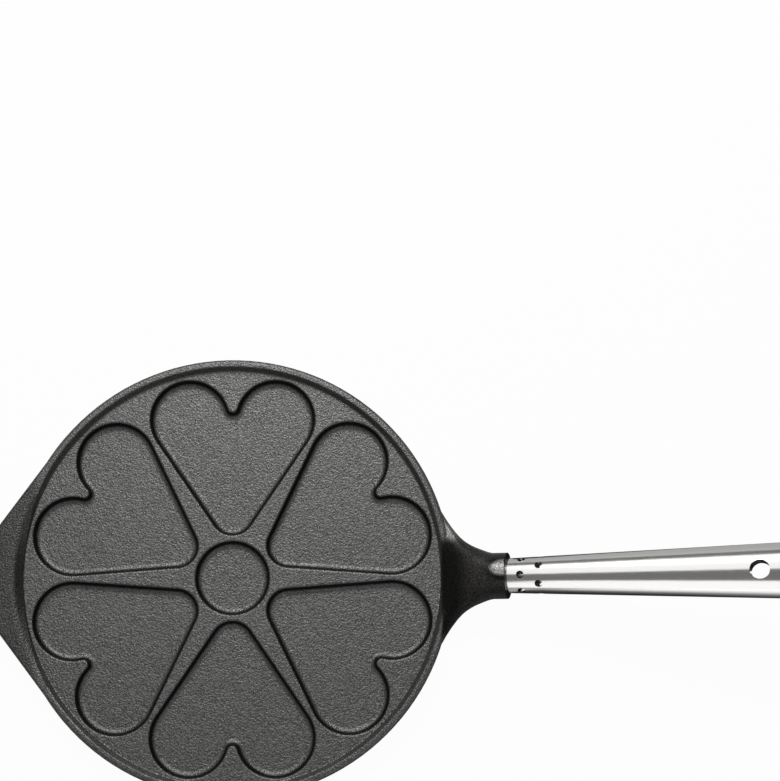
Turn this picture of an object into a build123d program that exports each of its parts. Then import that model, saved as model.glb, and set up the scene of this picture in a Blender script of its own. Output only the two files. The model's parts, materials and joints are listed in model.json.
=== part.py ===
from build123d import *
import os
from math import asin, atan2, cos, degrees, radians, sin, sqrt, tan

# Heart pancake pan, in millimetres. A flat cast iron pan has six heart wells round a
# small round well, a helper tab and a raised neck. A rolled stainless handle stands
# against the neck, and one long screw holds it there by a wedge inside the tube.
# +X runs along the handle, +Z is up, and the origin is the centre of the flat underside.

# Heights of the casting above its flat underside
well_floor_height = 3.8
land_height = 9.0
rim_height = 13.0

# Round outline of the casting, seen in its side profile
rim_radius = 115.0
base_radius = 104.0
wall_turn_height = 8.0
base_edge_round = 4.0
wall_turn_round = 6.0
crest_outer_round = 2.2
crest_inner_round = 0.8

# Inner wall of the rim, which slopes out from the land to the crest
inner_wall_foot = 109.3
inner_wall_top = 111.3
land_round = 0.8

# Heart wells, measured along each heart's own axis from the centre of the pan
heart_count = 6
first_heart_angle = 30.0
tip_distance = 34.05
tip_radius = 11.6
lobe_distance = 83.7
lobe_offset = 22.57
lobe_radius = 20.85
cleft_radius = 2.6
centre_well_radius = 19.4
well_draft = 12.0
well_floor_round = 3.3
well_edge_round = 1.2
wells_reach = 106.0

# Helper tab opposite the handle
tab_edge_angle = 53.4
tab_edge_distance = 114.6
tab_root_reach = 88.0
tab_root_depth = 25.0
tab_nose_radius = 45.0
tab_underside_height = 5.2
tab_edge_round = 1.7
tab_lower_round = 2.5

# Ramp from the land up to the tab, turned about its own upright axis
ramp_axis_distance = 25.0
ramp_foot_radius = 84.0
ramp_crest_radius = 89.4
ramp_foot_round = 2.0
ramp_crest_round = 6.0

# Handle axis: where it leaves the neck, and how steeply it rises
handle_rise = 14.0
boss_reach = 144.2
boss_centre_height = 17.5
boss_radius = 12.05
boss_length = 8.0
boss_edge_round = 0.5

# Neck ovals: reach from the centre, height of the middle, half width, half height, tilt
neck_ovals = [
    (103.0, 5.8, 38.5, 3.0, 0.0),
    (108.0, 6.9, 37.6, 5.2, 0.0),
    (112.0, 8.1, 31.0, 6.4, 2.0),
    (116.0, 9.5, 25.0, 7.6, 4.0),
    (121.0, 11.3, 19.3, 9.0, 7.0),
    (126.0, 13.1, 15.9, 10.3, 10.0),
    (131.0, 14.5, 13.7, 11.4, 12.0),
]

# How far an edge may lie from the height it is picked by
tolerance = 0.05

# Spigot on the neck that centres the tube, and the hole for the screw
spigot_radius = 7.8
spigot_length = 4.0
screw_hole_depth = 25.0

# Rolled handle tube, which widens away from the pan
tube_front_radius = 9.05
tube_half_angle = 2.07
tube_wall = 1.0
tube_length = 154.0
tube_nose_radius = 6.0
seam_width = 1.2
hang_hole_radius = 5.0
hang_hole_distance = 128.5
vent_radius = 2.0
vent_count = 6
vent_distances = [7.5, 17.0]

# Fasteners inside the tube, placed along the handle axis from the neck's end face
screw_radius = 4.0
screw_hole_radius = 4.05
screw_length = 130.0
screw_head_radius = 6.5
screw_head_length = 8.0
screw_key_width = 6.0
screw_key_depth = 4.0
wedge_front = 92.0
wedge_length = 14.0
wedge_gap = 0.05
clearance_radius = 4.4
washer_radius = 8.0
washer_thickness = 1.6
spring_washer_radius = 7.4
spring_washer_thickness = 2.0
spring_washer_gap = 1.6
edge_chamfer = 0.8


def handle_point(distance, height=0.0):
    """A point at a distance along the handle axis and a height square to it."""
    rise = radians(handle_rise)
    return Vector(
        boss_reach + distance * cos(rise) - height * sin(rise),
        0,
        boss_centre_height + distance * sin(rise) + height * cos(rise),
    )


def square_plane(origin, rise):
    """A plane square to a line that rises along +X, with its x direction along +Y."""
    along = (cos(radians(rise)), 0, sin(radians(rise)))
    return Plane(origin, x_dir=(0, 1, 0), z_dir=along)


def handle_plane(distance):
    """The plane square to the handle axis at a distance from the neck's end face."""
    return square_plane(handle_point(distance), handle_rise)


def handle_side(distance, angle=0.0):
    """The plane through the handle axis that faces up, or turned about the axis."""
    upward = handle_point(0, 1) - handle_point(0)
    return Plane(
        handle_point(distance),
        x_dir=handle_point(1) - handle_point(0),
        z_dir=upward.rotate(handle_axis, angle),
    )


# Side plane of the handle: x runs along its axis and y points up from it
side_plane = Plane(
    handle_point(0),
    x_dir=handle_point(1) - handle_point(0),
    z_dir=(0, -1, 0),
)
handle_axis = Axis(handle_point(0), handle_point(1) - handle_point(0))


def reach_of(edge):
    """Distance of the middle of an edge from the upright axis of the pan."""
    middle = edge @ 0.5
    return sqrt(middle.X**2 + middle.Y**2)


def tube_radius(distance):
    """Outer radius of the tapering tube at a distance from the neck."""
    return tube_front_radius + distance * tan(radians(tube_half_angle))


def bore_radius(distance):
    """Inner radius of the tapering tube at a distance from the neck."""
    return tube_radius(distance) - tube_wall / cos(radians(tube_half_angle))


# Heart outline, with its tip towards the centre of the pan
flank_angle = degrees(
    atan2(lobe_offset, lobe_distance - tip_distance)
    + asin(
        (lobe_radius - tip_radius)
        / sqrt((lobe_distance - tip_distance) ** 2 + lobe_offset**2)
    )
)
cleft_distance = lobe_distance + sqrt((lobe_radius + cleft_radius) ** 2 - lobe_offset**2)
cleft_turn = degrees(atan2(lobe_offset, lobe_distance - cleft_distance))
flank_turn = 90 + flank_angle
with BuildSketch() as heart:
    with BuildLine():
        tip = CenterArc((tip_distance, 0), tip_radius, 180, flank_turn - 180)
        lobe = CenterArc(
            (lobe_distance, lobe_offset),
            lobe_radius,
            flank_turn,
            cleft_turn - 180 - flank_turn,
        )
        Line(tip @ 1, lobe @ 0)
        CenterArc((cleft_distance, 0), cleft_radius, cleft_turn, 180 - cleft_turn)
        mirror(about=Plane.XZ)
    make_face()

# Helper tab, before it joins the pan: two straight edges and a round nose
tab_slope = radians(tab_edge_angle)
tab_apex = tab_edge_distance / sin(tab_slope)
nose_turn = 90 + tab_edge_angle
with BuildPart() as tab_blank:
    with BuildSketch(Plane.XY.offset(tab_underside_height)):
        with BuildLine():
            nose = CenterArc(
                (tab_nose_radius / sin(tab_slope) - tab_apex, 0),
                tab_nose_radius,
                nose_turn,
                360 - 2 * nose_turn,
            )
            root_half_width = (tab_apex - tab_root_reach) * tan(tab_slope)
            Polyline(
                nose @ 1,
                (-tab_root_reach, -root_half_width),
                (tab_root_depth - tab_root_reach, 0),
                (-tab_root_reach, root_half_width),
                nose @ 0,
            )
        make_face()
    extrude(amount=rim_height - tab_underside_height)
    outer_edges = tab_blank.edges().filter_by(
        lambda edge: edge.center().X < -tab_root_reach
    )
    fillet(outer_edges.group_by(Axis.Z)[-1], radius=tab_edge_round)
    outer_edges = tab_blank.edges().filter_by(
        lambda edge: edge.center().X < -tab_root_reach
    )
    fillet(outer_edges.group_by(Axis.Z)[0], radius=tab_lower_round)

# Neck, before it joins the pan: flat ovals that turn into a round boss
with BuildPart() as neck_blank:
    for reach, middle, half_width, half_height, tilt in neck_ovals:
        with BuildSketch(square_plane(Vector(reach, 0, middle), tilt)):
            Ellipse(half_width, half_height)
    with BuildSketch(handle_plane(-boss_length)):
        Circle(boss_radius)
    loft()
    with BuildSketch(handle_plane(-boss_length)):
        Circle(boss_radius)
    extrude(amount=boss_length)
    end_face = neck_blank.faces().sort_by(handle_axis)[-1]
    fillet(end_face.edges(), radius=boss_edge_round)
    with BuildSketch(handle_plane(0)):
        Circle(spigot_radius)
    extrude(amount=spigot_length)
    with BuildSketch(handle_plane(spigot_length)):
        Circle(screw_hole_radius)
    extrude(amount=-spigot_length - screw_hole_depth, mode=Mode.SUBTRACT)

# Pan casting: the turned disc with its tab and neck, then the bowl and the wells
with BuildPart() as pan_casting:
    with BuildSketch(Plane.XZ):
        with BuildLine():
            outside = FilletPolyline(
                (0, 0),
                (base_radius, 0),
                (rim_radius, wall_turn_height),
                (rim_radius, rim_height),
                (0, rim_height),
                radius=(base_edge_round, wall_turn_round, crest_outer_round),
            )
            Line(outside @ 1, outside @ 0)
        make_face()
    revolve(axis=Axis.Z)
    add(tab_blank.part)
    add(neck_blank.part)

    bowl_height = 2 * boss_centre_height
    inner_slope = (inner_wall_top - inner_wall_foot) / (rim_height - land_height)
    bowl_mouth = inner_wall_foot + bowl_height * inner_slope
    with BuildSketch(Plane.XZ):
        with BuildLine():
            inside = FilletPolyline(
                (0, land_height),
                (inner_wall_foot, land_height),
                (bowl_mouth, land_height + bowl_height),
                radius=land_round,
            )
            Polyline(inside @ 1, (0, land_height + bowl_height), inside @ 0)
        make_face()
    revolve(axis=Axis.Z, mode=Mode.SUBTRACT)

    with BuildSketch(Plane.XY.offset(land_height)):
        Circle(centre_well_radius)
        with PolarLocations(0, heart_count, start_angle=first_heart_angle):
            add(heart.sketch)
    extrude(
        amount=well_floor_height - land_height,
        taper=well_draft,
        mode=Mode.SUBTRACT,
    )
    fillet(pan_casting.edges(Select.LAST).group_by(Axis.Z)[0], radius=well_floor_round)
    land_edges = pan_casting.edges().filter_by_position(
        Axis.Z, land_height - tolerance, land_height + tolerance
    )
    lip_edges = land_edges.filter_by(lambda edge: reach_of(edge) < wells_reach)
    fillet(lip_edges, radius=well_edge_round)

    crest_edges = pan_casting.edges().filter_by(
        lambda edge: abs(reach_of(edge) - inner_wall_top) < crest_inner_round
        and (edge @ 0.5).Z > rim_height - tolerance
    )
    round_crest = crest_edges.filter_by(GeomType.CIRCLE)
    neck_crest = crest_edges.filter_by(lambda edge: (edge @ 0.5).Z > rim_height + tolerance)
    fillet(round_crest + neck_crest, radius=crest_inner_round)

    # The foot and the crest of the ramp are arcs that touch its straight slope
    ramp_slope = atan2(rim_height - land_height, ramp_crest_radius - ramp_foot_radius)
    foot_reach = ramp_foot_round * tan(ramp_slope / 2)
    crest_reach = ramp_crest_round * tan(ramp_slope / 2)
    ramp_foot = -ramp_axis_distance - ramp_foot_radius
    ramp_crest = -ramp_axis_distance - ramp_crest_radius
    foot_start = (ramp_foot + foot_reach, land_height)
    slope_start = (
        ramp_foot - foot_reach * cos(ramp_slope),
        land_height + foot_reach * sin(ramp_slope),
    )
    slope_end = (
        ramp_crest + crest_reach * cos(ramp_slope),
        rim_height - crest_reach * sin(ramp_slope),
    )
    crest_end = (ramp_crest - crest_reach, rim_height)
    with BuildSketch(Plane.XZ):
        with BuildLine():
            RadiusArc(foot_start, slope_start, ramp_foot_round)
            Line(slope_start, slope_end)
            RadiusArc(slope_end, crest_end, -ramp_crest_round)
            Polyline(
                foot_start,
                (foot_start[0], bowl_height),
                (crest_end[0], bowl_height),
                crest_end,
            )
        make_face()
    ramp_axis = Axis((-ramp_axis_distance, 0, 0), (0, 0, 1))
    revolve(axis=ramp_axis, mode=Mode.SUBTRACT)

# Handle tube: a bent strip of sheet turned about the handle axis, open along its seam
wall_tilt = radians(tube_half_angle)
nose_start = tube_length - tube_nose_radius
nose_height = tube_radius(nose_start) - tube_nose_radius / cos(wall_tilt)
with BuildPart() as handle_tube:
    with BuildSketch(side_plane):
        with BuildLine():
            outer_nose = CenterArc(
                (nose_start, nose_height),
                tube_nose_radius,
                90 + tube_half_angle,
                -90 - tube_half_angle,
            )
            inner_nose = CenterArc(
                (nose_start, nose_height),
                tube_nose_radius - tube_wall,
                90 + tube_half_angle,
                -90 - tube_half_angle,
            )
            inner_front = tube_front_radius - tube_wall / cos(wall_tilt)
            Polyline(
                outer_nose @ 0, (0, tube_front_radius), (0, inner_front), inner_nose @ 0
            )
            Line(outer_nose @ 1, inner_nose @ 1)
        make_face()
    revolve(axis=handle_axis)
    with BuildSketch(side_plane):
        with Locations((tube_length / 2, -tube_radius(tube_length) / 2)):
            Rectangle(2 * tube_length, tube_radius(tube_length))
    extrude(amount=seam_width / 2, both=True, mode=Mode.SUBTRACT)
    with BuildSketch(handle_side(hang_hole_distance)):
        Circle(hang_hole_radius)
    extrude(amount=tube_radius(tube_length), both=True, mode=Mode.SUBTRACT)
    for row, distance in enumerate(vent_distances):
        for turn in range(vent_count):
            angle = (turn + row / 2) * 360 / vent_count
            with BuildSketch(handle_side(distance, angle)):
                Circle(vent_radius)
            extrude(amount=2 * tube_front_radius, mode=Mode.SUBTRACT)

# Conical wedge inside the tube, which the screw pulls towards the neck
with BuildPart() as wedge:
    wedge_back = wedge_front + wedge_length
    with BuildSketch(side_plane):
        with BuildLine():
            Polyline(
                (wedge_front, clearance_radius),
                (wedge_front, bore_radius(wedge_front) - wedge_gap),
                (wedge_back, bore_radius(wedge_back) - wedge_gap),
                (wedge_back, clearance_radius),
                close=True,
            )
        make_face()
    revolve(axis=handle_axis)
    front_edges = wedge.edges().group_by(handle_axis)[0]
    chamfer(front_edges.sort_by(SortBy.RADIUS)[-1], length=edge_chamfer)

# Flat washer and split spring washer under the head of the screw
flat_washer_front = wedge_back
spring_washer_front = flat_washer_front + washer_thickness
screw_seat = spring_washer_front + spring_washer_thickness
with BuildPart() as flat_washer:
    with BuildSketch(handle_plane(flat_washer_front)):
        Circle(washer_radius)
        Circle(clearance_radius, mode=Mode.SUBTRACT)
    extrude(amount=washer_thickness)

with BuildPart() as spring_washer:
    with BuildSketch(handle_plane(spring_washer_front)):
        Circle(spring_washer_radius)
        Circle(clearance_radius, mode=Mode.SUBTRACT)
        with Locations((spring_washer_radius, 0)):
            Rectangle(2 * spring_washer_radius, spring_washer_gap, mode=Mode.SUBTRACT)
    extrude(amount=spring_washer_thickness)

# Long clamping screw with a hexagon socket, driven through the open end of the tube
with BuildPart() as clamp_screw:
    with BuildSketch(handle_plane(screw_seat)):
        Circle(screw_head_radius)
    extrude(amount=screw_head_length)
    head_end = clamp_screw.faces().sort_by(handle_axis)[-1]
    chamfer(head_end.edges(), length=edge_chamfer)
    with BuildSketch(handle_plane(screw_seat)):
        Circle(screw_radius)
    extrude(amount=-screw_length)
    shank_end = clamp_screw.faces().sort_by(handle_axis)[0]
    chamfer(shank_end.edges(), length=edge_chamfer)
    with BuildSketch(handle_plane(screw_seat + screw_head_length)):
        RegularPolygon(screw_key_width / 2, 6, major_radius=False)
    extrude(amount=-screw_key_depth, mode=Mode.SUBTRACT)

parts = {
    "pan_casting": pan_casting,
    "handle_tube": handle_tube,
    "wedge": wedge,
    "flat_washer": flat_washer,
    "spring_washer": spring_washer,
    "clamp_screw": clamp_screw,
}
os.makedirs("parts", exist_ok=True)
for name, piece in parts.items():
    piece.part.label = name
    export_step(piece.part, f"parts/{name}.step")
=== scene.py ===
import json
from math import ceil, cos, pi, radians, sin

import bpy
from bpy.props import FloatProperty, FloatVectorProperty, IntProperty, PointerProperty
from bpy.types import Node, NodeSocket, Operator, Panel, PropertyGroup
from mathutils import Euler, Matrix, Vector


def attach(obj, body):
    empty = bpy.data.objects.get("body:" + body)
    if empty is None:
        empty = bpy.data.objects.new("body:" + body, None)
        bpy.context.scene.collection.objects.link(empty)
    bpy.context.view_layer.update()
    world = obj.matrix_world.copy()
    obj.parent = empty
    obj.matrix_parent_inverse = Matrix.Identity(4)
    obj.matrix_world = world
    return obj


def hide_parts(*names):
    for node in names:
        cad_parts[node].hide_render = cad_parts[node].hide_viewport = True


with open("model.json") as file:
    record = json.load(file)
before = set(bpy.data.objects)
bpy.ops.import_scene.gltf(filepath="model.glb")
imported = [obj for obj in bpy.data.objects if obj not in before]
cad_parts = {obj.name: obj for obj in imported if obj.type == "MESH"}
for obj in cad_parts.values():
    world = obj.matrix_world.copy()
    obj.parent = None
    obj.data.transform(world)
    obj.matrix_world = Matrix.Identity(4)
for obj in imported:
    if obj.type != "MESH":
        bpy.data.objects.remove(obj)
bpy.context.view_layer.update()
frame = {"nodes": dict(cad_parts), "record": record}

bl_info = {
    "name": "Heart Pancake Pan",
    "version": (1, 0, 0),
    "blender": (4, 5, 0),
    "location": "3D View > Sidebar > Heart Pan",
    "description": "Finishes a cast iron heart pancake pan with a rolled steel handle",
    "category": "Object",
}

MILLIMETRE = 0.001
MATH = "ShaderNodeMath"
VECTOR_MATH = "ShaderNodeVectorMath"
MAP_RANGE = "ShaderNodeMapRange"

mounts = {mount["name"]: mount for mount in frame["record"]["mounts"]}


def linear(hex_colour):
    """Turns an sRGB hex colour into linear red, green, blue and alpha."""
    shares = [int(hex_colour[start:start + 2], 16) / 255 for start in (1, 3, 5)]
    return [
        share / 12.92 if share <= 0.04045 else ((share + 0.055) / 1.055) ** 2.4
        for share in shares
    ] + [1.0]


def add_node(tree, kind, inputs=(), **settings):
    """Adds a node, sets it up, and fills or links its inputs by name or in their order."""
    node = tree.nodes.new(kind)
    for name, value in settings.items():
        setattr(node, name, value)
    for key, value in inputs.items() if isinstance(inputs, dict) else enumerate(inputs):
        if isinstance(value, Node):
            value = value.outputs[0]
        if isinstance(value, NodeSocket):
            tree.links.new(value, node.inputs[key])
        else:
            node.inputs[key].default_value = value
    return node


def new_material(name):
    """Starts a material with an empty tree and returns it with that tree."""
    material = bpy.data.materials.new(name)
    material.use_nodes = True
    material.node_tree.nodes.clear()
    return material, material.node_tree


# ---------------------------------------------------------------- sizes and colours


class HandleSizes(PropertyGroup):
    """Sizes of the rolled handle tube."""

    rise: FloatProperty(
        name="Rise", description="How steeply the handle climbs from the pan",
        default=radians(14.0), subtype="ANGLE")
    start: FloatVectorProperty(
        name="Start", description="Where the handle's axis leaves the neck",
        default=(0.1442, 0.0, 0.0175), subtype="XYZ", unit="LENGTH")
    front_radius: FloatProperty(
        name="Front radius", description="Outer radius of the tube against the neck",
        default=0.00905, unit="LENGTH")
    half_angle: FloatProperty(
        name="Half angle", description="How much the tube widens on each side",
        default=radians(2.07), subtype="ANGLE")
    length: FloatProperty(
        name="Length", description="Length of the tube along its axis",
        default=0.15398, unit="LENGTH")
    nose_radius: FloatProperty(
        name="Nose radius", description="Radius that the rear end is turned in by",
        default=0.006, unit="LENGTH")
    wall: FloatProperty(
        name="Wall", description="Thickness of the steel sheet",
        default=0.001, unit="LENGTH")
    seam: FloatProperty(
        name="Seam", description="Width of the open seam under the handle",
        default=0.0012, unit="LENGTH")
    edge_round: FloatProperty(
        name="Edge round", description="How far the tumbled edges are rounded",
        default=0.00015, unit="LENGTH")
    hang_hole_distance: FloatProperty(
        name="Hang hole distance", description="From the neck to the hang hole",
        default=0.1285, unit="LENGTH")
    hang_hole_radius: FloatProperty(
        name="Hang hole radius", description="Radius of the hole the pan hangs by",
        default=mounts["hang_hole"]["dims"]["r_mm"] * MILLIMETRE, unit="LENGTH")
    vent_radius: FloatProperty(
        name="Vent radius", description="Radius of the vent holes by the neck",
        default=0.002, unit="LENGTH")
    vent_count: IntProperty(
        name="Vents in a row", description="Number of vent holes round the tube",
        default=6, min=1)
    vent_distances: FloatVectorProperty(
        name="Vent rows", description="From the neck to each row of vent holes",
        default=(0.0075, 0.017), size=2, unit="LENGTH")
    step: FloatProperty(
        name="Step", description="Length of the mesh faces along the tube",
        default=0.0005, unit="LENGTH")
    faces_round: IntProperty(
        name="Faces round", description="Number of mesh faces round the tube",
        default=120, min=24)


class IronFinish(PropertyGroup):
    """Colours and grain of the cast iron."""

    coat: FloatVectorProperty(
        name="Coat", description="Colour of the oil baked on the iron",
        default=linear("#302F2D"), size=4, subtype="COLOR", min=0, max=1)
    # Colour of the painted shade on the steep walls, the tab's slope and the neck's root, and of
    # the darker tab
    shade_coat: FloatVectorProperty(
        name="Burnt coat", description="Colour of the thicker coat on steep walls",
        default=linear("#0B0B0A"), size=4, subtype="COLOR", min=0, max=1)
    # Colour of the painted highlight on the neck's end and shoulder
    highlight_tone: FloatVectorProperty(
        name="Bare iron", description="Colour of the iron where the coat is rubbed off",
        default=linear("#8C8987"), size=4, subtype="COLOR", min=0, max=1)
    grain: FloatProperty(
        name="Grain", description="Width of the marks that the moulding sand leaves",
        default=0.00085, unit="LENGTH")
    grain_depth: FloatProperty(
        name="Grain depth", description="Height of those marks",
        default=0.0004, unit="LENGTH")
    mottle: FloatProperty(
        name="Mottle", description="Width of the cloudy patches in the coat",
        default=0.014, unit="LENGTH")
    roughness: FloatProperty(
        name="Coat roughness", description="Roughness of the oil baked on the iron",
        default=0.34, min=0, max=1)
    # Roughness of the neck's spots under the painted highlight
    highlighted_roughness: FloatProperty(
        name="Rubbed roughness", description="Roughness where the neck is rubbed bare",
        default=0.22, min=0, max=1)


class SteelFinish(PropertyGroup):
    """Colours and polish of the steel pieces."""

    sheet: FloatVectorProperty(
        name="Stainless sheet", description="Colour of the polished stainless steel",
        default=linear("#D4D3D1"), size=4, subtype="COLOR", min=0, max=1)
    zinc: FloatVectorProperty(
        name="Zinc plating", description="Colour of the plated fasteners",
        default=linear("#B4B7BB"), size=4, subtype="COLOR", min=0, max=1)
    polish_width: FloatProperty(
        name="Polish width", description="Width of the fine lines along the handle",
        default=0.0004, unit="LENGTH")
    polish_length: FloatProperty(
        name="Polish length", description="Length of those lines",
        default=0.03, unit="LENGTH")
    bloom: FloatProperty(
        name="Bloom", description="Width of the cloudy patches in the zinc",
        default=0.004, unit="LENGTH")


class Studio(PropertyGroup):
    """Camera, lamps and floor."""

    camera_place: FloatVectorProperty(
        name="Camera", description="Where the camera stands",
        default=(0.0824, -0.0560, 0.9511), subtype="XYZ", unit="LENGTH")
    camera_pitch: FloatProperty(
        name="Pitch", description="How far the camera leans from straight down",
        default=radians(4.0), subtype="ANGLE")
    camera_roll: FloatProperty(
        name="Roll", description="How far the picture turns clockwise",
        default=radians(0.28), subtype="ANGLE")
    lens: FloatProperty(
        name="Lens", description="Focal length on a 36 mm sensor",
        default=83.0, unit="CAMERA")
    shift: FloatProperty(
        name="Shift", description="How far the frame is moved up the picture",
        default=0.2151)
    floor_size: FloatProperty(
        name="Floor", description="Width of the pale floor",
        default=12.0, unit="LENGTH")
    room_light: FloatProperty(
        name="Room light", description="Brightness of the room round the lamps",
        default=0.14, min=0)
    mirrored_white: FloatProperty(
        name="Mirrored white", description="Share of the white background that gloss mirrors",
        default=0.1, min=0, max=1)


# ---------------------------------------------------------------- materials


def seasoned_sand_cast_iron(finish):
    """Sand-cast iron with oil baked on: dark and semi-gloss, with the grain of the mould.

    Painted shade darkens the steep walls, the tab's slope, the neck's root and a ring round the
    neck's end, the tab is darker all over, the dressed neck and tab are duller, and a painted
    highlight lightens the neck's end and shoulder."""
    material, tree = new_material("seasoned_sand_cast_iron")
    place = add_node(tree, "ShaderNodeTexCoord")
    spot = add_node(tree, "ShaderNodeSeparateXYZ", [place.outputs["Object"]])
    facing = add_node(tree, "ShaderNodeSeparateXYZ", [place.outputs["Normal"]])
    # Moulding sand is 0.2 to 0.4 mm coarse, too fine to show, so the grain is drawn wider
    grain = add_node(tree, "ShaderNodeTexNoise", {
        "Vector": place.outputs["Object"], "Scale": 1 / finish.grain,
        "Detail": 1.0, "Roughness": 0.5})
    mottle = add_node(tree, "ShaderNodeTexNoise", {
        "Vector": place.outputs["Object"], "Scale": 1 / finish.mottle,
        "Detail": 3.0, "Roughness": 0.55})

    # Distances from the pan's axis and from its middle plane
    flat = add_node(tree, VECTOR_MATH, [place.outputs["Object"], (1.0, 1.0, 0.0)],
                    operation="MULTIPLY")
    reach = add_node(tree, VECTOR_MATH, [flat], operation="LENGTH").outputs["Value"]
    aside = add_node(tree, MATH, [spot.outputs["Y"]], operation="ABSOLUTE")
    # A painted highlight lightens two spots of the neck: a long one against the tube, with a
    # ragged edge, and its shoulder
    end_highlight_centre, shoulder_highlight_centre = (0.1425, 0.0040, 0.0), (0.1145, 0.0245, 0.0125)
    from_end_highlight = add_node(tree, VECTOR_MATH, [place.outputs["Object"], end_highlight_centre],
                          operation="SUBTRACT")
    from_end_highlight = add_node(tree, VECTOR_MATH, [from_end_highlight, (0.5, 1.0, 0.0)],
                          operation="MULTIPLY")
    from_end_highlight = add_node(tree, VECTOR_MATH, [from_end_highlight], operation="LENGTH")
    ragged = add_node(tree, MATH, [mottle, 0.5], operation="SUBTRACT")
    ragged = add_node(tree, MATH, [ragged, 0.003], operation="MULTIPLY")
    into_end_highlight = add_node(tree, MATH, [ragged, from_end_highlight.outputs["Value"]],
                          operation="SUBTRACT")
    from_shoulder = add_node(tree, VECTOR_MATH, [place.outputs["Object"], shoulder_highlight_centre],
                             operation="DISTANCE").outputs["Value"]
    level = add_node(tree, MATH, [facing.outputs["Z"]], operation="ABSOLUTE")

    # Each row: what is measured, in metres or as a share of the normal, where its smooth
    # fade starts and ends, and the values there
    fades = {
        "neck_length": (spot.outputs["X"], 0.1085, 0.1105, 0.0, 1.0),
        "neck_side": (spot.outputs["Y"], 0.0165, 0.0245, 1.0, 0.0),
        "neck_root_shade": (spot.outputs["X"], 0.116, 0.127, 1.0, 0.0),
        "rim": (reach, 0.1086, 0.1096, 0.0, 1.0),
        "rim_crest": (reach, 0.1122, 0.1135, 1.0, 0.0),
        "tab_end": (spot.outputs["X"], -0.105, -0.099, 1.0, 0.0),
        "tab_slope": (facing.outputs["X"], 0.08, 0.6, 0.0, 1.0),
        "tab_middle": (aside, 0.008, 0.032, 0.8, 0.4),
        "end_highlight": (into_end_highlight, -0.0052, -0.0034, 0.0, 1.0),
        "end_highlight_end": (spot.outputs["X"], 0.1409, 0.1414, 1.0, 0.0),
        "shade_ring": (into_end_highlight, -0.0080, -0.0055, 0.0, 1.0),
        "shoulder_highlight": (from_shoulder, 0.002, 0.0075, 0.35, 0.0),
        "walls": (level, 0.45, 0.95, 1.0, 0.0),
    }
    fades = {name: add_node(tree, MAP_RANGE, row, interpolation_type="SMOOTHSTEP")
             for name, row in fades.items()}

    neck = add_node(tree, MATH, [fades["neck_length"], fades["neck_side"]],
                    operation="MULTIPLY")
    # Painted shade at the neck's root, where it rises from the pan
    shaded_neck_root = add_node(tree, MATH, [neck, fades["neck_root_shade"]], operation="MULTIPLY")
    tab = add_node(tree, MATH, [fades["rim"], fades["tab_end"]], operation="MULTIPLY")
    # Painted shade on the tab's slope, stronger near the tab's middle
    tab_slope = add_node(tree, MATH, [tab, fades["tab_slope"]], operation="MULTIPLY")
    tab_slope = add_node(tree, MATH, [tab_slope, fades["tab_middle"]], operation="MULTIPLY")
    end_highlight = add_node(tree, MATH, [fades["end_highlight"], fades["end_highlight_end"]], operation="MULTIPLY")
    highlighted = add_node(tree, MATH, [end_highlight, fades["shoulder_highlight"]], operation="MAXIMUM")
    # Painted shade in a dark line round the painted highlight at the neck's end
    shade_ring = add_node(tree, MATH, [fades["shade_ring"], end_highlight], operation="SUBTRACT")
    # Painted shade darkens the steep walls, but not the rim's own wall
    rim_wall = add_node(tree, MATH, [fades["rim"], fades["rim_crest"]], operation="MULTIPLY")
    wall_shade_share = add_node(tree, MAP_RANGE, [rim_wall, 0.0, 1.0, 1.0, -0.4],
                       interpolation_type="SMOOTHSTEP")
    # Painted shade on the steep walls and the tab's slope
    steep = add_node(tree, MATH, [fades["walls"], wall_shade_share], operation="MULTIPLY")
    steep = add_node(tree, MATH, [steep, tab_slope], operation="MAXIMUM")

    # Painted shade on the walls, the tab's slope, the neck's root and round the neck's end, and
    # the tab darker all over
    shade_and_dark_tab = add_node(tree, MATH, [tab, 0.4], operation="MULTIPLY")
    for darkened in (shaded_neck_root, steep, shade_ring):
        shade_and_dark_tab = add_node(tree, MATH, [shade_and_dark_tab, darkened], operation="MAXIMUM")
    # Painted highlight: the neck's end and shoulder are lightened towards a pale grey
    highlight_share = add_node(tree, MATH, [highlighted, 0.55], operation="MULTIPLY")
    colour = add_node(tree, "ShaderNodeMix", {
        "Factor": shade_and_dark_tab, "A": list(finish.coat), "B": list(finish.shade_coat)},
        data_type="RGBA")
    colour = add_node(tree, "ShaderNodeMix", {
        "Factor": highlight_share, "A": colour.outputs["Result"], "B": list(finish.highlight_tone)},
        data_type="RGBA")
    shade = add_node(tree, MAP_RANGE, [mottle, 0.3, 0.7, 0.88, 1.12])
    speckle = add_node(tree, MAP_RANGE, [grain, 0.25, 0.75, 0.2, 1.8])
    shade = add_node(tree, MATH, [shade, speckle], operation="MULTIPLY")
    colour = add_node(tree, VECTOR_MATH, {0: colour.outputs["Result"], "Scale": shade},
                      operation="SCALE")

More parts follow.
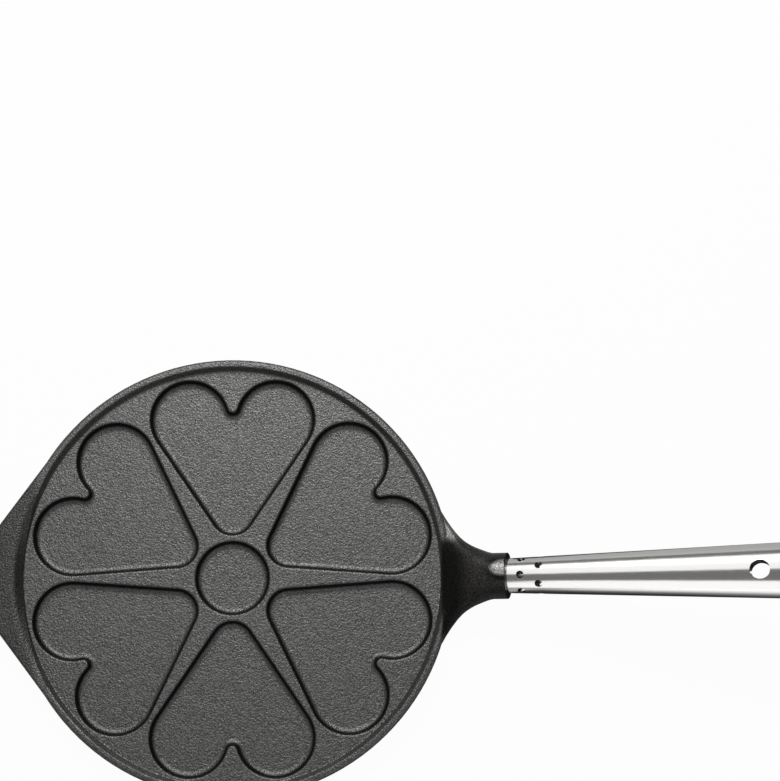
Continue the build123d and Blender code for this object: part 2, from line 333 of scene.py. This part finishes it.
    # The dressed neck and tab and the steep walls under the painted shade are dull, the spots
    # under the painted highlight are not
    dull = add_node(tree, MATH, [neck, highlighted], operation="SUBTRACT")
    dull = add_node(tree, MATH, [dull, steep], operation="MAXIMUM")
    dull_tab = add_node(tree, MATH, [tab, 0.5], operation="MULTIPLY")
    dull = add_node(tree, MATH, [dull, dull_tab], operation="MAXIMUM")
    shine = add_node(tree, MATH, [end_highlight, 0.1], operation="MULTIPLY")
    dull = add_node(tree, MATH, [dull, shine], operation="SUBTRACT")
    gloss = add_node(tree, MAP_RANGE, [dull, -1.0, 1.0, 1.56, 0.1])
    glint = add_node(tree, MAP_RANGE, [grain, 0.25, 0.75, 0.65, 1.35])
    gloss = add_node(tree, MATH, [gloss, glint], operation="MULTIPLY")
    rough = add_node(tree, MAP_RANGE, [
        highlighted, 0.0, 1.0, finish.roughness, finish.highlighted_roughness])
    height = add_node(tree, MAP_RANGE, [neck, 0.0, 1.0, 1.0, 0.4])
    bump = add_node(tree, "ShaderNodeBump", {
        "Strength": height, "Distance": finish.grain_depth, "Height": grain})
    # Baked oil with iron close under it mirrors more than oil alone, whose IOR is 1.5
    shader = add_node(tree, "ShaderNodeBsdfPrincipled", {
        "Base Color": colour, "Roughness": rough, "IOR": 1.85,
        "Specular IOR Level": gloss, "Normal": bump})
    add_node(tree, "ShaderNodeOutputMaterial", {"Surface": shader})
    return material


def polished_stainless_sheet(finish, handle):
    """Stainless sheet linished along its length: mirror bright, with faint long lines."""
    material, tree = new_material("polished_stainless_sheet")
    place = add_node(tree, "ShaderNodeTexCoord")
    along = add_node(tree, "ShaderNodeMapping", {
        "Vector": place.outputs["Object"], "Rotation": (0.0, handle.rise, 0.0)},
        vector_type="POINT")
    # A linishing belt's lines are under 0.1 mm apart, too fine to show, so they are drawn
    # wider
    across = 1 / finish.polish_width
    stretched = add_node(tree, VECTOR_MATH, [
        along, (1 / finish.polish_length, across, across)], operation="MULTIPLY")
    lines = add_node(tree, "ShaderNodeTexNoise", {
        "Vector": stretched, "Scale": 1.0, "Detail": 2.0})
    rough = add_node(tree, MAP_RANGE, [lines, 0.3, 0.7, 0.14, 0.22])
    bump = add_node(tree, "ShaderNodeBump", {
        "Strength": 0.3, "Distance": 0.004 * MILLIMETRE, "Height": lines})
    shader = add_node(tree, "ShaderNodeBsdfPrincipled", {
        "Base Color": list(finish.sheet), "Metallic": 1.0, "Roughness": rough,
        "Normal": bump})
    add_node(tree, "ShaderNodeOutputMaterial", {"Surface": shader})
    return material


def bright_zinc_plating(finish):
    """Zinc-plated steel fasteners: pale grey metal with a faint cloudy bloom."""
    material, tree = new_material("bright_zinc_plating")
    place = add_node(tree, "ShaderNodeTexCoord")
    bloom = add_node(tree, "ShaderNodeTexNoise", {
        "Vector": place.outputs["Object"], "Scale": 1 / finish.bloom, "Detail": 3.0})
    rough = add_node(tree, MAP_RANGE, [bloom, 0.3, 0.7, 0.24, 0.38])
    shader = add_node(tree, "ShaderNodeBsdfPrincipled", {
        "Base Color": list(finish.zinc), "Metallic": 1.0, "Roughness": rough})
    add_node(tree, "ShaderNodeOutputMaterial", {"Surface": shader})
    return material


def white_share(tree, seen, mirrored):
    """How much of the white background a ray sees: `seen` if it comes from the camera,
    `mirrored` if it comes off a glossy surface or through a clear one."""
    ray = add_node(tree, "ShaderNodeLightPath")
    bounced = add_node(tree, MATH, [
        ray.outputs["Is Glossy Ray"], ray.outputs["Is Transmission Ray"]],
        operation="MAXIMUM")
    bounced = add_node(tree, MATH, [bounced, mirrored], operation="MULTIPLY")
    straight = add_node(tree, MATH, [ray.outputs["Is Camera Ray"], seen],
                        operation="MULTIPLY")
    return add_node(tree, MATH, [straight, bounced], operation="MAXIMUM")


def seamless_white_floor(studio):
    """White studio paper: seen and mirrored as white, but it keeps the pan's shadow."""
    material, tree = new_material("seamless_white_floor")
    paper = add_node(tree, "ShaderNodeBsdfDiffuse", {"Color": linear("#D8D8D7")})
    white = add_node(tree, "ShaderNodeEmission", {"Color": (1, 1, 1, 1), "Strength": 1.0})
    share = white_share(tree, 0.97, studio.mirrored_white)
    mixed = add_node(tree, "ShaderNodeMixShader", [share, paper, white])
    add_node(tree, "ShaderNodeOutputMaterial", {"Surface": mixed})
    return material


def shade_reflection_card():
    """Glowing card that grades from black to white: a painted reflection of the floor, shaded
    under the handle and bright further off.
    """
    material, tree = new_material("shade_reflection_card")
    place = add_node(tree, "ShaderNodeTexCoord")
    spot = add_node(tree, "ShaderNodeSeparateXYZ", [place.outputs["Object"]])
    grade = add_node(tree, MAP_RANGE, [spot.outputs["Y"], -0.03, -0.21, 0.03, 1.25],
                     interpolation_type="SMOOTHSTEP")
    glow = add_node(tree, "ShaderNodeEmission", {"Color": (1, 1, 1, 1), "Strength": grade})
    add_node(tree, "ShaderNodeOutputMaterial", {"Surface": glow})
    return material


# ---------------------------------------------------------------- handle tube

# The tube is made as the real one is: a flat sheet is punched, then rolled. In the
# flat sheet X is the distance from the neck and Y is the angle round the tube, with
# 0 on top. The mesh lines round each hole are drawn in to a true circle.


def named_inputs(tree, inputs):
    """Gives a node group its named inputs and returns the group's input sockets."""
    for name, kind, default in inputs:
        socket = tree.interface.new_socket(
            name=name, in_out="INPUT", socket_type=f"NodeSocket{kind}")
        if default is not None:
            socket.default_value = default
    return add_node(tree, "NodeGroupInput").outputs


def punched_row_group():
    """Node group that punches one row of round holes in the flat sheet."""
    tree = bpy.data.node_groups.new("Punched row of holes", "GeometryNodeTree")
    given = named_inputs(tree, [
        ("Sheet", "Geometry", None),
        ("Distance", "Float", 0.0),
        ("First angle", "Float", 0.0),
        ("Pitch", "Float", 1.0),
        ("Hole radius", "Float", 0.002),
        ("Tube radius", "Float", 0.009),
        ("Cut length", "Float", 0.0015),
        ("Cut angle", "Float", 0.15),
        ("Reach", "Float", 2.0),
    ])
    tree.interface.new_socket(name="Sheet", in_out="OUTPUT", socket_type="NodeSocketGeometry")

    # How far each mesh point is from the nearest hole's centre, along and across the tube
    place = add_node(tree, "GeometryNodeInputPosition")
    flat = add_node(tree, "ShaderNodeSeparateXYZ", [place])
    along = add_node(tree, MATH, [flat.outputs["X"], given["Distance"]], operation="SUBTRACT")
    turned = add_node(tree, MATH, [flat.outputs["Y"], given["First angle"]],
                      operation="SUBTRACT")
    highest = add_node(tree, MATH, [given["Pitch"], 0.5], operation="MULTIPLY")
    lowest = add_node(tree, MATH, [given["Pitch"], -0.5], operation="MULTIPLY")
    angle = add_node(tree, MATH, [turned, highest, lowest], operation="WRAP")
    across = add_node(tree, MATH, [angle], operation="SINE")
    across = add_node(tree, MATH, [across, given["Tube radius"]], operation="MULTIPLY")

    # 1 on the edge of the square that is cut out, more outside it
    cut_across = add_node(tree, MATH, [given["Cut angle"]], operation="SINE")
    cut_across = add_node(tree, MATH, [cut_across, given["Tube radius"]],
                          operation="MULTIPLY")
    share_along = add_node(tree, MATH, [along, given["Cut length"]], operation="DIVIDE")
    share_along = add_node(tree, MATH, [share_along], operation="ABSOLUTE")
    share_across = add_node(tree, MATH, [across, cut_across], operation="DIVIDE")
    share_across = add_node(tree, MATH, [share_across], operation="ABSOLUTE")
    square = add_node(tree, MATH, [share_along, share_across], operation="MAXIMUM")
    inside = add_node(tree, "FunctionNodeCompare", {"A": square, "B": 1.0},
                      operation="LESS_THAN")
    cut = add_node(tree, "GeometryNodeDeleteGeometry", {
        "Geometry": given["Sheet"], "Selection": inside}, domain="FACE")

    # The lines near the square are drawn to a circle, less and less further out
    squared = add_node(tree, MATH, [along, along], operation="MULTIPLY")
    squared = add_node(tree, MATH, [across, across, squared], operation="MULTIPLY_ADD")
    distance = add_node(tree, MATH, [squared], operation="SQRT")
    to_circle = add_node(tree, MATH, [given["Hole radius"], distance], operation="DIVIDE")
    to_square = add_node(tree, MATH, [1.0, square], operation="DIVIDE")
    pull = add_node(tree, MAP_RANGE, [square, 1.0, given["Reach"], 1.0, 0.0])
    stretch = add_node(tree, MATH, [to_circle, to_square], operation="SUBTRACT")
    stretch = add_node(tree, MATH, [pull, stretch], operation="MULTIPLY")
    new_across = add_node(tree, MATH, [across, stretch, across], operation="MULTIPLY_ADD")
    new_sine = add_node(tree, MATH, [new_across, given["Tube radius"]], operation="DIVIDE")
    new_angle = add_node(tree, MATH, [new_sine], operation="ARCSINE")
    move_along = add_node(tree, MATH, [along, stretch], operation="MULTIPLY")
    move_round = add_node(tree, MATH, [new_angle, angle], operation="SUBTRACT")
    offset = add_node(tree, "ShaderNodeCombineXYZ", [move_along, move_round])
    near = add_node(tree, "FunctionNodeCompare", {"A": square, "B": given["Reach"]},
                    operation="LESS_THAN")
    moved = add_node(tree, "GeometryNodeSetPosition", {
        "Geometry": cut, "Selection": near, "Offset": offset})
    add_node(tree, "NodeGroupOutput", {"Sheet": moved})
    return tree


def rolled_tube_group():
    """Node group that punches a flat sheet and rolls it into the tapering tube."""
    tree = bpy.data.node_groups.new("Rolled handle tube", "GeometryNodeTree")
    given = named_inputs(tree, [
        ("Front radius", "Float", 0.009),
        ("Half angle", "Float", 0.03),
        ("Straight length", "Float", 0.15),
        ("Nose radius", "Float", 0.006),
        ("Seam", "Float", 0.001),
        ("Rise", "Float", 0.2),
        ("Start", "Vector", (0.0, 0.0, 0.0)),
        ("Sheet length", "Float", 0.16),
        ("Rows of faces", "Int", 300),
        ("Faces round", "Int", 120),
        ("Vent radius", "Float", 0.002),
        ("Vent pitch", "Float", 1.0),
        ("First row", "Float", 0.0075),
        ("Second row", "Float", 0.017),
        ("Hang hole radius", "Float", 0.005),
        ("Hang hole distance", "Float", 0.13),
        ("Steel", "Material", None),
    ])
    tree.interface.new_socket(name="Tube", in_out="OUTPUT", socket_type="NodeSocketGeometry")

    lines_along = add_node(tree, MATH, [given["Rows of faces"], 1.0], operation="ADD")
    lines_round = add_node(tree, MATH, [given["Faces round"], 1.0], operation="ADD")
    sheet = add_node(tree, "GeometryNodeMeshGrid", {
        "Size X": given["Sheet length"], "Size Y": 2 * pi,
        "Vertices X": lines_along, "Vertices Y": lines_round})
    half_length = add_node(tree, MATH, [given["Sheet length"], 0.5], operation="MULTIPLY")
    to_neck = add_node(tree, "ShaderNodeCombineXYZ", [half_length])
    sheet = add_node(tree, "GeometryNodeSetPosition", {"Geometry": sheet, "Offset": to_neck})

    # Two rows of vent holes, then the hang hole through the top and the bottom. The last
    # three numbers are the half sides of the square that is cut out, in metres along the
    # tube and as an angle round it, and how many times as far out the lines are drawn in
    slope = add_node(tree, MATH, [given["Half angle"]], operation="TANGENT")
    half_pitch = add_node(tree, MATH, [given["Vent pitch"], 0.5], operation="MULTIPLY")
    punch = punched_row_group()
    for distance, first_angle, pitch, radius, cut_length, cut_angle, reach in (
        (given["First row"], 0.0, given["Vent pitch"], given["Vent radius"],
         0.0015, radians(9), 2.0),
        (given["Second row"], half_pitch, given["Vent pitch"], given["Vent radius"],
         0.0015, radians(9), 2.0),
        (given["Hang hole distance"], 0.0, pi, given["Hang hole radius"],
         0.0045, radians(18), 1.8),
    ):
        tube_radius = add_node(tree, MATH, [distance, slope, given["Front radius"]],
                               operation="MULTIPLY_ADD")
        sheet = add_node(tree, "GeometryNodeGroup", {
            "Sheet": sheet, "Distance": distance, "First angle": first_angle,
            "Pitch": pitch, "Hole radius": radius, "Tube radius": tube_radius,
            "Cut length": cut_length, "Cut angle": cut_angle, "Reach": reach},
            node_tree=punch)

    # Side profile: a straight slope, then an arc that turns the rear end in. The arc goes
    # on along the axis by the cosine of the way it faces, and inwards by the sine
    place = add_node(tree, "GeometryNodeInputPosition")
    flat = add_node(tree, "ShaderNodeSeparateXYZ", [place])
    straight = add_node(tree, MATH, [flat.outputs["X"], given["Straight length"]],
                        operation="MINIMUM")
    whole_turn = add_node(tree, MATH, [given["Half angle"], pi / 2], operation="ADD")
    past = add_node(tree, MATH, [flat.outputs["X"], straight], operation="SUBTRACT")
    turn = add_node(tree, MATH, [past, given["Nose radius"]], operation="DIVIDE")
    turn = add_node(tree, MATH, [turn, whole_turn], operation="MINIMUM")
    facing = add_node(tree, MATH, [whole_turn, turn], operation="SUBTRACT")
    radius = add_node(tree, MATH, [straight, slope, given["Front radius"]],
                      operation="MULTIPLY_ADD")
    drawn = {}
    for wave in ("COSINE", "SINE"):
        now = add_node(tree, MATH, [facing], operation=wave)
        at_first = add_node(tree, MATH, [whole_turn], operation=wave)
        drawn[wave] = add_node(tree, MATH, [now, at_first], operation="SUBTRACT")
    distance = add_node(tree, MATH, [drawn["COSINE"], given["Nose radius"], straight],
                        operation="MULTIPLY_ADD")
    radius = add_node(tree, MATH, [drawn["SINE"], given["Nose radius"], radius],
                      operation="MULTIPLY_ADD")

    # The two edges of the sheet stop short of each other at the seam
    half_seam = add_node(tree, MATH, [given["Seam"], 0.5], operation="MULTIPLY")
    gap = add_node(tree, MATH, [half_seam, radius], operation="DIVIDE")
    gap = add_node(tree, MATH, [gap], operation="ARCSINE")
    limit = add_node(tree, MATH, [pi, gap], operation="SUBTRACT")
    other_limit = add_node(tree, MATH, [limit, -1.0], operation="MULTIPLY")
    angle = add_node(tree, MATH, [flat.outputs["Y"], limit], operation="MINIMUM")
    angle = add_node(tree, MATH, [angle, other_limit], operation="MAXIMUM")
    around = {}
    for wave in ("SINE", "COSINE"):
        share = add_node(tree, MATH, [angle], operation=wave)
        around[wave] = add_node(tree, MATH, [radius, share], operation="MULTIPLY")
    rolled = add_node(tree, "ShaderNodeCombineXYZ", [
        distance, around["SINE"], around["COSINE"]])
    tube = add_node(tree, "GeometryNodeSetPosition", {"Geometry": sheet, "Position": rolled})
    tube = add_node(tree, "GeometryNodeMergeByDistance", {
        "Geometry": tube, "Distance": 0.002 * MILLIMETRE})
    upwards = add_node(tree, MATH, [given["Rise"], -1.0], operation="MULTIPLY")
    tilt = add_node(tree, "ShaderNodeCombineXYZ", {"Y": upwards})
    tube = add_node(tree, "GeometryNodeTransform", {
        "Geometry": tube, "Translation": given["Start"], "Rotation": tilt})
    tube = add_node(tree, "GeometryNodeSetShadeSmooth", {"Geometry": tube})
    tube = add_node(tree, "GeometryNodeRealizeInstances", {"Geometry": tube})
    tube = add_node(tree, "GeometryNodeSetMaterial", {
        "Geometry": tube, "Material": given["Steel"]})
    add_node(tree, "NodeGroupOutput", {"Tube": tube})
    return tree


def grow(name, tree, values, material):
    """Runs a node group once and keeps its result as a plain mesh object."""
    carrier = bpy.data.objects.new(name + "_grown", bpy.data.meshes.new(name + "_grown"))
    bpy.context.scene.collection.objects.link(carrier)
    modifier = carrier.modifiers.new(name, "NODES")
    modifier.node_group = tree
    for item in tree.interface.items_tree:
        if item.in_out == "INPUT" and item.name in values:
            modifier[item.identifier] = values[item.name]
    graph = bpy.context.evaluated_depsgraph_get()
    mesh = bpy.data.meshes.new_from_object(
        carrier.evaluated_get(graph), preserve_all_data_layers=True, depsgraph=graph)
    carrier.modifiers.remove(modifier)
    bpy.data.objects.remove(carrier)
    mesh.name = name
    mesh.materials.clear()
    mesh.materials.append(material)
    piece = bpy.data.objects.new(name, mesh)
    bpy.context.scene.collection.objects.link(piece)
    return piece


# ---------------------------------------------------------------- operators


class HEARTPAN_OT_season_casting(Operator):
    """Give the pan casting its seasoned sand-cast surface"""

    bl_idname = "heart_pan.season_casting"
    bl_label = "Season the Casting"

    def execute(self, context):
        casting = frame["nodes"]["pan_casting"]
        iron = seasoned_sand_cast_iron(context.scene.heart_pan_iron)
        for slot in casting.material_slots:
            slot.material = iron
        return {"FINISHED"}


class HEARTPAN_OT_roll_handle(Operator):
    """Punch and roll the handle tube from a flat sheet of stainless steel"""

    bl_idname = "heart_pan.roll_handle"
    bl_label = "Roll the Handle"

    def execute(self, context):
        sizes = context.scene.heart_pan_handle
        steel = polished_stainless_sheet(context.scene.heart_pan_steel, sizes)
        # The slope ends where the arc of the nose touches it
        straight = sizes.length - sizes.nose_radius * (1 + sin(sizes.half_angle))
        rows = ceil((straight + sizes.nose_radius * (pi / 2 + sizes.half_angle)) / sizes.step)
        tube = grow("handle_tube_sheet", rolled_tube_group(), {
            "Front radius": sizes.front_radius,
            "Half angle": sizes.half_angle,
            "Straight length": straight,
            "Nose radius": sizes.nose_radius,
            "Seam": sizes.seam,
            "Rise": sizes.rise,
            "Start": list(sizes.start),
            "Sheet length": rows * sizes.step,
            "Rows of faces": rows,
            "Faces round": sizes.faces_round,
            "Vent radius": sizes.vent_radius,
            "Vent pitch": 2 * pi / sizes.vent_count,
            "First row": sizes.vent_distances[0],
            "Second row": sizes.vent_distances[1],
            "Hang hole radius": sizes.hang_hole_radius,
            "Hang hole distance": sizes.hang_hole_distance,
            "Steel": steel,
        }, steel)
        if not tube.data.polygons:
            raise RuntimeError("the handle tube has no faces")
        wall = tube.modifiers.new("Sheet thickness", "SOLIDIFY")
        wall.thickness = sizes.wall
        wall.offset = -1.0
        wall.use_even_offset = True
        edges = tube.modifiers.new("Tumbled edges", "BEVEL")
        edges.width = sizes.edge_round
        edges.segments = 2
        edges.limit_method = "ANGLE"
        edges.angle_limit = radians(50)
        edges.harden_normals = True
        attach(tube, "root")
        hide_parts("handle_tube")
        return {"FINISHED"}


class HEARTPAN_OT_plate_fasteners(Operator):
    """Give the wedge, the washers and the clamping screw their zinc plating"""

    bl_idname = "heart_pan.plate_fasteners"
    bl_label = "Plate the Fasteners"

    def execute(self, context):
        zinc = bright_zinc_plating(context.scene.heart_pan_steel)
        for name in ("wedge", "flat_washer", "spring_washer", "clamp_screw"):
            for slot in frame["nodes"][name].material_slots:
                slot.material = zinc
        return {"FINISHED"}


def softbox(name, target, lean, turn, distance, size, radiance,
            matt=True, gloss=True, piece=None):
    """Hangs a soft lamp that leans from overhead towards +Y and turns towards +X.

    Both angles are in degrees. The lamp can be kept from lighting matt surfaces, from being
    mirrored in glossy ones, and from all pieces but one, as a flag before a real lamp does."""
    lean, turn = radians(lean), radians(turn)
    away = Vector((sin(turn), sin(lean) * cos(turn), cos(lean) * cos(turn)))
    lamp = bpy.data.lights.new(name, "AREA")
    lamp.shape = "RECTANGLE"
    lamp.size, lamp.size_y = size
    lamp.energy = radiance * pi * size[0] * size[1]
    holder = bpy.data.objects.new(name, lamp)
    holder.location = Vector(target) + distance * away
    holder.rotation_euler = away.to_track_quat("Z", "Y").to_euler()
    holder.visible_camera = False
    holder.visible_diffuse = matt
    holder.visible_glossy = gloss
    if piece:
        lit = bpy.data.collections.new(name + "_lights")
        lit.objects.link(piece)
        holder.light_linking.receiver_collection = lit
    bpy.context.scene.collection.objects.link(holder)


def lay_sheet(name, left, right, front, back, height, material):
    """Lays a flat rectangle on the stage and returns it."""
    mesh = bpy.data.meshes.new(name)
    mesh.from_pydata(
        [(left, front, height), (right, front, height), (right, back, height),
         (left, back, height)],
        [], [(0, 1, 2, 3)])
    mesh.materials.append(material)
    sheet = bpy.data.objects.new(name, mesh)
    bpy.context.scene.collection.objects.link(sheet)
    return sheet


class HEARTPAN_OT_set_stage(Operator):
    """Set up the white floor, the soft lamps and the camera above the pan"""

    bl_idname = "heart_pan.set_stage"
    bl_label = "Set the Stage"

    def execute(self, context):
        scene = context.scene
        studio = scene.heart_pan_studio
        # The paper lies a little below the pan's base, so that no two faces coincide
        half = studio.floor_size / 2
        lay_sheet("studio_floor", -half, half, -half, half, -0.1 * MILLIMETRE,
                  seamless_white_floor(studio))
        # A glowing card lies under the handle, dark below it and white further off: a painted
        # reflection of the floor's shade there. It is seen only in the steel, whose lower edge
        # it darkens softly
        card = lay_sheet("shade_reflection_card", 0.146, 0.5, -0.6, 0.034, MILLIMETRE,
                         shade_reflection_card())
        card.visible_camera = False
        card.visible_diffuse = False
        card.visible_shadow = False

        softbox("key_strip", (0.05, 0.0, 0.02), lean=42, turn=-6, distance=1.0,
                size=(0.8, 0.17), radiance=20.0, gloss=False)
        softbox("overhead_softbox", (-0.06, 0.0, 0.02), lean=37, turn=2, distance=0.75,
                size=(0.66, 0.96), radiance=1.16, matt=False)
        softbox("rear_strip", (0.06, 0.0, 0.02), lean=50, turn=0, distance=0.75,
                size=(0.3, 0.22), radiance=5.0, matt=False)
        softbox("front_softbox", (0.0, 0.0, 0.02), lean=-62, turn=15, distance=1.0,
                size=(1.2, 0.5), radiance=0.4, matt=False,
                piece=frame["nodes"]["pan_casting"])
        softbox("handle_softbox", (0.2, 0.0, 0.03), lean=-68, turn=-8, distance=0.25,
                size=(0.26, 0.225), radiance=1.25, matt=False,
                piece=bpy.data.objects["handle_tube_sheet"])

        room = bpy.data.worlds.new("studio_room")
        room.use_nodes = True
        room.node_tree.nodes.clear()
        share = white_share(room.node_tree, 1.0, studio.mirrored_white)
        strength = add_node(room.node_tree, MAP_RANGE, [share, 0.0, 1.0, studio.room_light, 1.0])
        air = add_node(room.node_tree, "ShaderNodeBackground", {
            "Color": (1, 1, 1, 1), "Strength": strength})
        add_node(room.node_tree, "ShaderNodeOutputWorld", {"Surface": air})
        scene.world = room

        lens = bpy.data.cameras.new("photo_camera")
        lens.lens = studio.lens
        lens.shift_y = studio.shift
        camera = bpy.data.objects.new("photo_camera", lens)
        camera.location = studio.camera_place
        camera.rotation_euler = Euler((studio.camera_pitch, 0.0, -studio.camera_roll))
        scene.collection.objects.link(camera)
        scene.camera = camera
        scene.view_settings.view_transform = "Standard"
        return {"FINISHED"}


class HEARTPAN_PT_pan(Panel):
    """Sidebar panel of the heart pancake pan"""

    bl_idname = "HEARTPAN_PT_pan"
    bl_label = "Heart Pancake Pan"
    bl_space_type = "VIEW_3D"
    bl_region_type = "UI"
    bl_category = "Heart Pan"

    def draw(self, context):
        scene = context.scene
        for group, operator in (
            (scene.heart_pan_iron, "heart_pan.season_casting"),
            (scene.heart_pan_handle, "heart_pan.roll_handle"),
            (scene.heart_pan_steel, "heart_pan.plate_fasteners"),
            (scene.heart_pan_studio, "heart_pan.set_stage"),
        ):
            box = self.layout.box()
            for name in group.__annotations__:
                box.prop(group, name)
            box.operator(operator)


classes = (
    HandleSizes,
    IronFinish,
    SteelFinish,
    Studio,
    HEARTPAN_OT_season_casting,
    HEARTPAN_OT_roll_handle,
    HEARTPAN_OT_plate_fasteners,
    HEARTPAN_OT_set_stage,
    HEARTPAN_PT_pan,
)


def register():
    for cls in classes:
        bpy.utils.register_class(cls)
    bpy.types.Scene.heart_pan_handle = PointerProperty(type=HandleSizes)
    bpy.types.Scene.heart_pan_iron = PointerProperty(type=IronFinish)
    bpy.types.Scene.heart_pan_steel = PointerProperty(type=SteelFinish)
    bpy.types.Scene.heart_pan_studio = PointerProperty(type=Studio)


def unregister():
    del bpy.types.Scene.heart_pan_studio
    del bpy.types.Scene.heart_pan_steel
    del bpy.types.Scene.heart_pan_iron
    del bpy.types.Scene.heart_pan_handle
    for cls in reversed(classes):
        bpy.utils.unregister_class(cls)


def main():
    """Builds the whole pan and its stage."""
    register()
    bpy.ops.heart_pan.season_casting()
    bpy.ops.heart_pan.roll_handle()
    bpy.ops.heart_pan.plate_fasteners()
    bpy.ops.heart_pan.set_stage()


if __name__ == "__main__":
    main()
